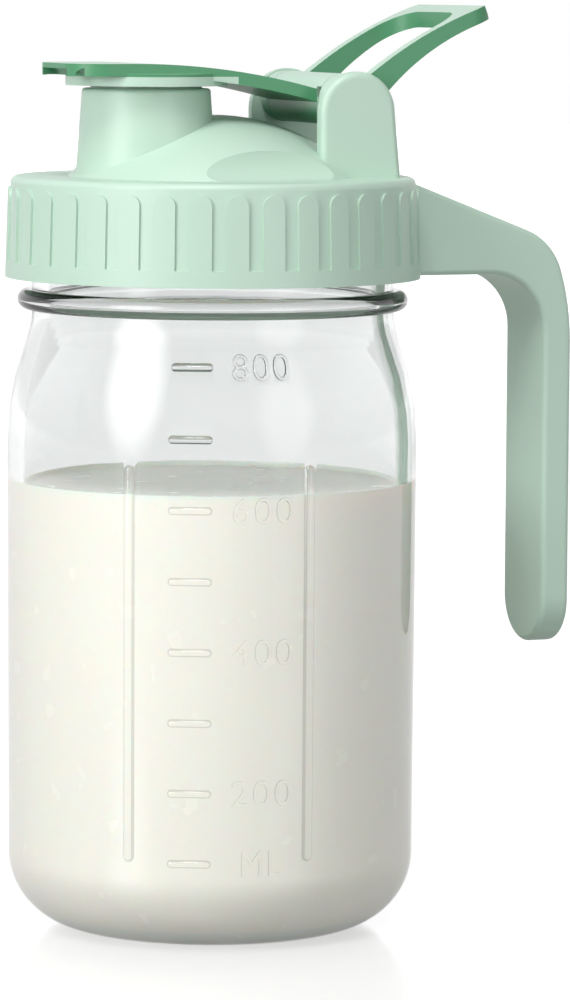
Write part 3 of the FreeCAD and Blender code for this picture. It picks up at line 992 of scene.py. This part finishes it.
    def shaped(self) -> list[tuple[bmesh.types.BMesh, float, float, float]]:
        """Makes the ticks, numerals and upright ribs about the origin.

        Returns:
            Each mark with its place round the wall, its height and how far out
            its middle lies.
        """
        found = []
        length, tick_r = self.tick_size
        for i in range(self.tick_count):
            z = self.tick_z0 + self.tick_pitch * i
            tick = self.bar(tick_r, length, "Y")
            found.append((tick, self.tick_side, z, self.raised - tick_r))
        for i, text in self.numerals.items():
            z = self.tick_z0 + self.tick_pitch * i
            found.append((self.lettering(text), self.numeral_side, z, 0.0))
        low, high = self.rib_z
        for side in (-1, 1):
            swing = math.radians(self.rib_deg) * self.body_r * side
            rib = self.bar(self.rib_r, high - low + 2 * self.rib_r, "Z")
            found.append((rib, swing, (low + high) / 2, self.raised - self.rib_r))
        return found

    def marks(self) -> bmesh.types.BMesh:
        """Lays every mark on the wall.

        Returns:
            All marks in one mesh, none touching another.
        """
        everything = bmesh.new()
        for mesh, side, z, out in self.shaped():
            self.lay(mesh, side, z, out)
            mesh.normal_update()
            for face in mesh.faces:
                face.material_index = self.glass(face)
            data = bpy.data.meshes.new("mark")
            mesh.to_mesh(data)
            mesh.free()
            everything.from_mesh(data)
            bpy.data.meshes.remove(data)
        bmesh.ops.recalc_face_normals(everything, faces=everything.faces[:])
        return everything

    def build(self, *glasses: bpy.types.Material) -> bpy.types.Object:
        """Moulds the marks into the jar's wall and dresses it.

        Args:
            glasses: its glasses, in the order of the Glass names.

        Returns:
            The jar.
        """
        jar = piece_from("jar_glass", self.skin(), self.sharp_deg)
        marks = piece_from("jar_marks", self.marks(), self.sharp_deg)
        for piece in (jar, marks):
            for glass in glasses:
                piece.data.materials.append(glass)
        union = jar.modifiers.new("marks", "BOOLEAN")
        union.operation, union.solver, union.object = "UNION", "EXACT", marks
        shot = jar.evaluated_get(bpy.context.evaluated_depsgraph_get())
        data = bpy.data.meshes.new_from_object(shot)
        jar.modifiers.clear()
        jar.data = data
        bpy.data.objects.remove(marks)
        mesh = bmesh.new()
        mesh.from_mesh(data)
        bmesh.ops.remove_doubles(mesh, verts=mesh.verts[:], dist=WELD_PLACED)
        sharpen(mesh, self.sharp_deg)
        # Faces of the foot wear the blue-grey glass that paints the shade under the milk's
        # floor.
        for face in mesh.faces:
            if face.calc_center_median().z < self.foot_z * MM:
                face.material_index = Glass.FOOT_SHADE.value
        mesh.to_mesh(data)
        mesh.free()
        settle(jar, Body.PITCHER, list(glasses), Node.JAR)
        return jar


@dataclass
class Milk:
    """The milk, reaching just into the glass that holds it.

    Attributes:
        jar: the jar that holds it.
        level: height of its surface.
        bite: how far it reaches into the glass.
        climb: how far its rim climbs the wall.
        sharp_deg: edges that turn by more stay sharp.
    """

    jar: JarGlass
    level: float = 105.2
    bite: float = 0.25
    climb: float = 1.1
    sharp_deg: float = 50.0

    def build(self, finish: bpy.types.Material) -> bpy.types.Object:
        """Turns the milk with its climbing rim.

        Args:
            finish: the milk's material.

        Returns:
            The milk.
        """
        jar, grow = self.jar, self.bite
        heel_x = jar.body_r - jar.heel_draft - jar.heel_r
        heel = jar.heel_r - jar.base + grow
        share = (self.level - jar.heel_r) / (jar.shoulder_z - jar.heel_r)
        top_r = heel_x + heel + (jar.heel_draft + jar.base - jar.wall) * share
        shape = Turning(0, jar.base - grow).line_to(heel_x, jar.base - grow)
        shape.arc(heel_x, jar.heel_r, 90).line_to(top_r, self.level + self.climb)
        shape.line_to(top_r - grow, self.level + self.climb)
        shape.arc(top_r - grow - self.climb, self.level + self.climb, -90)
        shape.line_to(0, self.level)
        piece = piece_from("milk_fill", shape.spun(), self.sharp_deg)
        settle(piece, Body.PITCHER, [finish], Node.MILK)
        return piece


# ---- plastic pieces ----------------------------------------------------------


@dataclass
class MouldedPlastic:
    """A CAD piece that keeps its shape and gets the moulded plastic.

    Attributes:
        node: the CAD node.
    """

    node: Node

    def dress(
        self, nodes: dict[str, bpy.types.Object], finish: bpy.types.Material
    ) -> None:
        """Puts the finish on every material slot of the node.

        Args:
            nodes: the frame's nodes by name.
            finish: the plastic's material.
        """
        for slot in nodes[self.node.value].material_slots:
            slot.material = finish
        LOG.info("%s dressed in %s", self.node.value, finish.name)


# ---- studio ------------------------------------------------------------------


@dataclass(frozen=True)
class Softbox:
    """A large oval lamp, aimed at the pitcher, that fades towards its rim.

    Glass doesn't show it by bending light, only by mirroring it.

    Attributes:
        name: its name.
        azimuth: direction it stands in, degrees from +X.
        elevation: how high it stands, degrees.
        distance: metres from the pitcher's middle.
        size: width and height in metres.
        power: watts.
        fade: where it starts to fade and where it is dark, as shares of its
            size from its middle.
    """

    name: str
    azimuth: float
    elevation: float
    distance: float
    size: tuple[float, float]
    power: float
    fade: tuple[float, float] = (0.22, 0.5)

    def dim(self, tree: bpy.types.NodeTree) -> None:
        """Fades the lamp towards its rim.

        Args:
            tree: the lamp's node tree.
        """
        board = Board(tree)
        spot = board.add("ShaderNodeNewGeometry").outputs["Parametric"]
        away = board.vector("DISTANCE", spot, (0.5, 0.5, 0.0)).outputs["Value"]
        glow = board.feed(
            board.add("ShaderNodeEmission"),
            Color=WHITE, Strength=board.ramp(away, self.fade, (1.0, 0.0)),
        )
        board.feed(board.add("ShaderNodeOutputLight"), Surface=glow.outputs[0])

    def place(self, target: Vector) -> None:
        """Sets the lamp up.

        Args:
            target: the point it is aimed at.
        """
        data = bpy.data.lights.new(self.name, "AREA")
        data.shape, data.energy = "ELLIPSE", self.power
        data.size, data.size_y = self.size
        data.use_nodes = True
        self.dim(data.node_tree)
        lamp = bpy.data.objects.new(self.name, data)
        a, e = math.radians(self.azimuth), math.radians(self.elevation)
        out = Vector((math.cos(e) * math.cos(a), math.cos(e) * math.sin(a), math.sin(e)))
        lamp.location = target + out * self.distance
        lamp.rotation_euler = (-out).to_track_quat("-Z", "Y").to_euler()
        lamp.visible_transmission = False
        bpy.context.scene.collection.objects.link(lamp)


@dataclass(frozen=True)
class PaleFloor:
    """The pale floor, which keeps the shadow and a faint reflection.

    Attributes:
        reach: distance from its middle to its sides.
        drop: how far it lies under the pitcher.
        grey: its colour, linear.
        roughness: its roughness.
        polish: its specular level.
        glow: strength of the white that it shows the camera.
        bent: share of that white in light that glass bends.
        mirrored: share of it in mirrored light.
    """

    reach: float = 6000.0
    drop: float = 0.3
    grey: float = 0.4
    roughness: float = 0.04
    polish: float = 0.5
    glow: float = 0.52
    bent: float = 0.3
    mirrored: float = 0.6

    def lay(self) -> None:
        """Lays the floor and tells the frame that it belongs to the studio."""
        mesh = bmesh.new()
        bmesh.ops.create_grid(mesh, x_segments=2, y_segments=2, size=self.reach)
        bmesh.ops.translate(mesh, verts=mesh.verts[:], vec=(0, 0, -self.drop))
        plane = piece_from("floor", mesh, sharp_deg=30)
        made, board = new_material("pale_floor")
        path = board.add("ShaderNodeLightPath").outputs
        bent = board.math("MULTIPLY", path["Is Transmission Ray"], self.bent)
        seen = board.math("ADD", path["Is Camera Ray"], bent)
        shine = board.math("MULTIPLY", path["Is Glossy Ray"], self.mirrored)
        seen = board.math("MINIMUM", board.math("ADD", seen, shine), 1.0)
        surface = board.feed(
            board.add("ShaderNodeBsdfPrincipled"),
            Base_Color=(*[self.grey] * 3, 1), Roughness=self.roughness,
            Specular_IOR_Level=self.polish, Emission_Color=WHITE,
            Emission_Strength=board.math("MULTIPLY", seen, self.glow),
        )
        board.feed(board.add("ShaderNodeOutputMaterial"), Surface=surface.outputs[0])
        plane.data.materials.append(made)
        plane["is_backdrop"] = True


@dataclass
class Studio:
    """Pale floor, white surroundings, soft lamps and the camera.

    Attributes:
        eye: the camera's place in metres.
        heading: its direction seen from above, degrees from +X.
        pitch: how far it looks down, degrees.
        roll: its turn about the line of sight, degrees.
        lens: its focal length in millimetres.
        sensor: width of its sensor in millimetres.
        sight: how far it sees in metres.
        card_at: cosine from the heading at which the dark card's middle stands.
        card_width: width of the card, in that cosine.
        card: level at the card's middle and level away from it.
        sky: heights of direction between which a mirrored sky dims.
        mirrored: level of the mirrored sky above that.
        ambient: level of all other light from around.
        floor: the floor.
        boxes: the lamps.
    """

    eye: tuple[float, float, float] = (-0.4596, -1.1534, 0.2255)
    heading: float = 67.473
    pitch: float = 5.723
    roll: float = 0.356
    lens: float = 189.5
    sensor: float = 36.0
    sight: float = 50.0
    card_at: float = 0.78
    card_width: float = 0.11
    card: tuple[float, float] = (0.28, 0.78)
    sky: tuple[float, float] = (0.2, 0.5)
    mirrored: float = 0.5
    ambient: float = 0.42
    floor: PaleFloor = PaleFloor()
    boxes: tuple[Softbox, ...] = (
        Softbox("key", -158.0, 19.0, 1.0, (0.75, 0.95), 10.8),
        Softbox("fill", -70.0, 12.0, 1.1, (0.8, 0.8), 2.8),
        Softbox("top", -125.0, 62.0, 1.0, (0.55, 0.55), 8.8),
    )

    def camera(self) -> None:
        """Sets the camera up and makes it the scene's."""
        data = bpy.data.cameras.new("camera")
        data.lens, data.sensor_width, data.clip_end = self.lens, self.sensor, self.sight
        camera = bpy.data.objects.new("camera", data)
        h, p = math.radians(self.heading), math.radians(self.pitch)
        level = math.cos(p)
        look = Vector((level * math.cos(h), level * math.sin(h), -math.sin(p)))
        turn = look.to_track_quat("-Z", "Y").to_matrix() @ Matrix.Rotation(
            math.radians(self.roll), 3, "Z"
        )
        camera.matrix_world = Matrix.LocRotScale(
            Vector(self.eye), turn.to_quaternion(), None
        )
        bpy.context.scene.collection.objects.link(camera)
        bpy.context.scene.camera = camera

    def world(self) -> None:
        """Lights the surroundings, with a level of its own for each kind of ray.

        The camera sees white. Glass bends in a soft dark card that stands on
        each side of the heading, mirrored light meets a sky that dims with
        height, and everything else gets one plain level.
        """
        world = bpy.data.worlds.new("studio")
        bpy.context.scene.world = world
        world.use_nodes = True
        board = Board(world.node_tree)
        path = board.add("ShaderNodeLightPath").outputs
        way = board.add("ShaderNodeTexCoord").outputs["Generated"]
        h = math.radians(self.heading)
        ahead = (math.cos(h), math.sin(h), 0)
        along = board.vector("DOT_PRODUCT", way, ahead).outputs["Value"]
        facing = board.math("ABSOLUTE", along)
        off = board.math("ABSOLUTE", board.math("SUBTRACT", facing, self.card_at))
        card = board.ramp(off, (0.0, 2 * self.card_width), self.card)
        low = board.ramp(board.split(way)["Z"], self.sky, (1.0, self.mirrored))
        direct = board.math("LESS_THAN", path["Diffuse Depth"], FIRST_FLIGHT)
        passed = board.math("MULTIPLY", path["Is Transmission Ray"], direct)
        glossy = board.math("MULTIPLY", path["Is Glossy Ray"], direct)
        others = board.math("SUBTRACT", 1.0, board.math("MAXIMUM", passed, glossy))
        level = path["Is Camera Ray"]
        for share, kind in ((card, passed), (low, glossy), (self.ambient, others)):
            level = board.math("MAXIMUM", level, board.math("MULTIPLY", kind, share))
        glow = board.feed(
            board.add("ShaderNodeBackground"), Color=WHITE, Strength=level
        )
        board.feed(board.add("ShaderNodeOutputWorld"), Surface=glow.outputs[0])

    def build(self, target: Vector) -> None:
        """Sets the whole studio up.

        Args:
            target: the pitcher's middle.
        """
        self.camera()
        self.world()
        self.floor.lay()
        for box in self.boxes:
            box.place(target)
        LOG.info("studio: %d lamps", len(self.boxes))


# ---- making ------------------------------------------------------------------


def corners(bounds: object) -> list[list[float]]:
    """Turns a box into plain lists.

    Args:
        bounds: lowest and highest corner.

    Returns:
        The two corners as lists of numbers.
    """
    return [[float(v) for v in corner] for corner in bounds]


def main() -> None:
    """Builds the pitcher's looks and its studio in order."""
    logging.basicConfig(level=logging.INFO, format="%(name)s: %(message)s")
    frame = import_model()
    sizes = {"cad": corners(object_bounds())}
    bpy.context.scene.view_settings.view_transform = "Standard"
    low, high = (Vector(c) for c in sizes["cad"])
    Studio().build((low + high) / 2)
    jar = JarGlass()
    jar.build(*(glass.material() for glass in JAR_GLASSES.values()))
    Milk(jar).build(MILK_FINISH.material())
    # The cap and loop wear the mint plastic with painted shade on their sides and under
    # the hinge barrel.
    mint, thin = MINT_FINISH.material(), MINT_SHADED_FINISH.material()
    for node, finish in ((Node.LID, mint), (Node.CAP, thin), (Node.LOOP, thin)):
        MouldedPlastic(node).dress(frame["nodes"], finish)
    sizes["visual"] = corners(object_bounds())


if __name__ == "__main__":
    main()
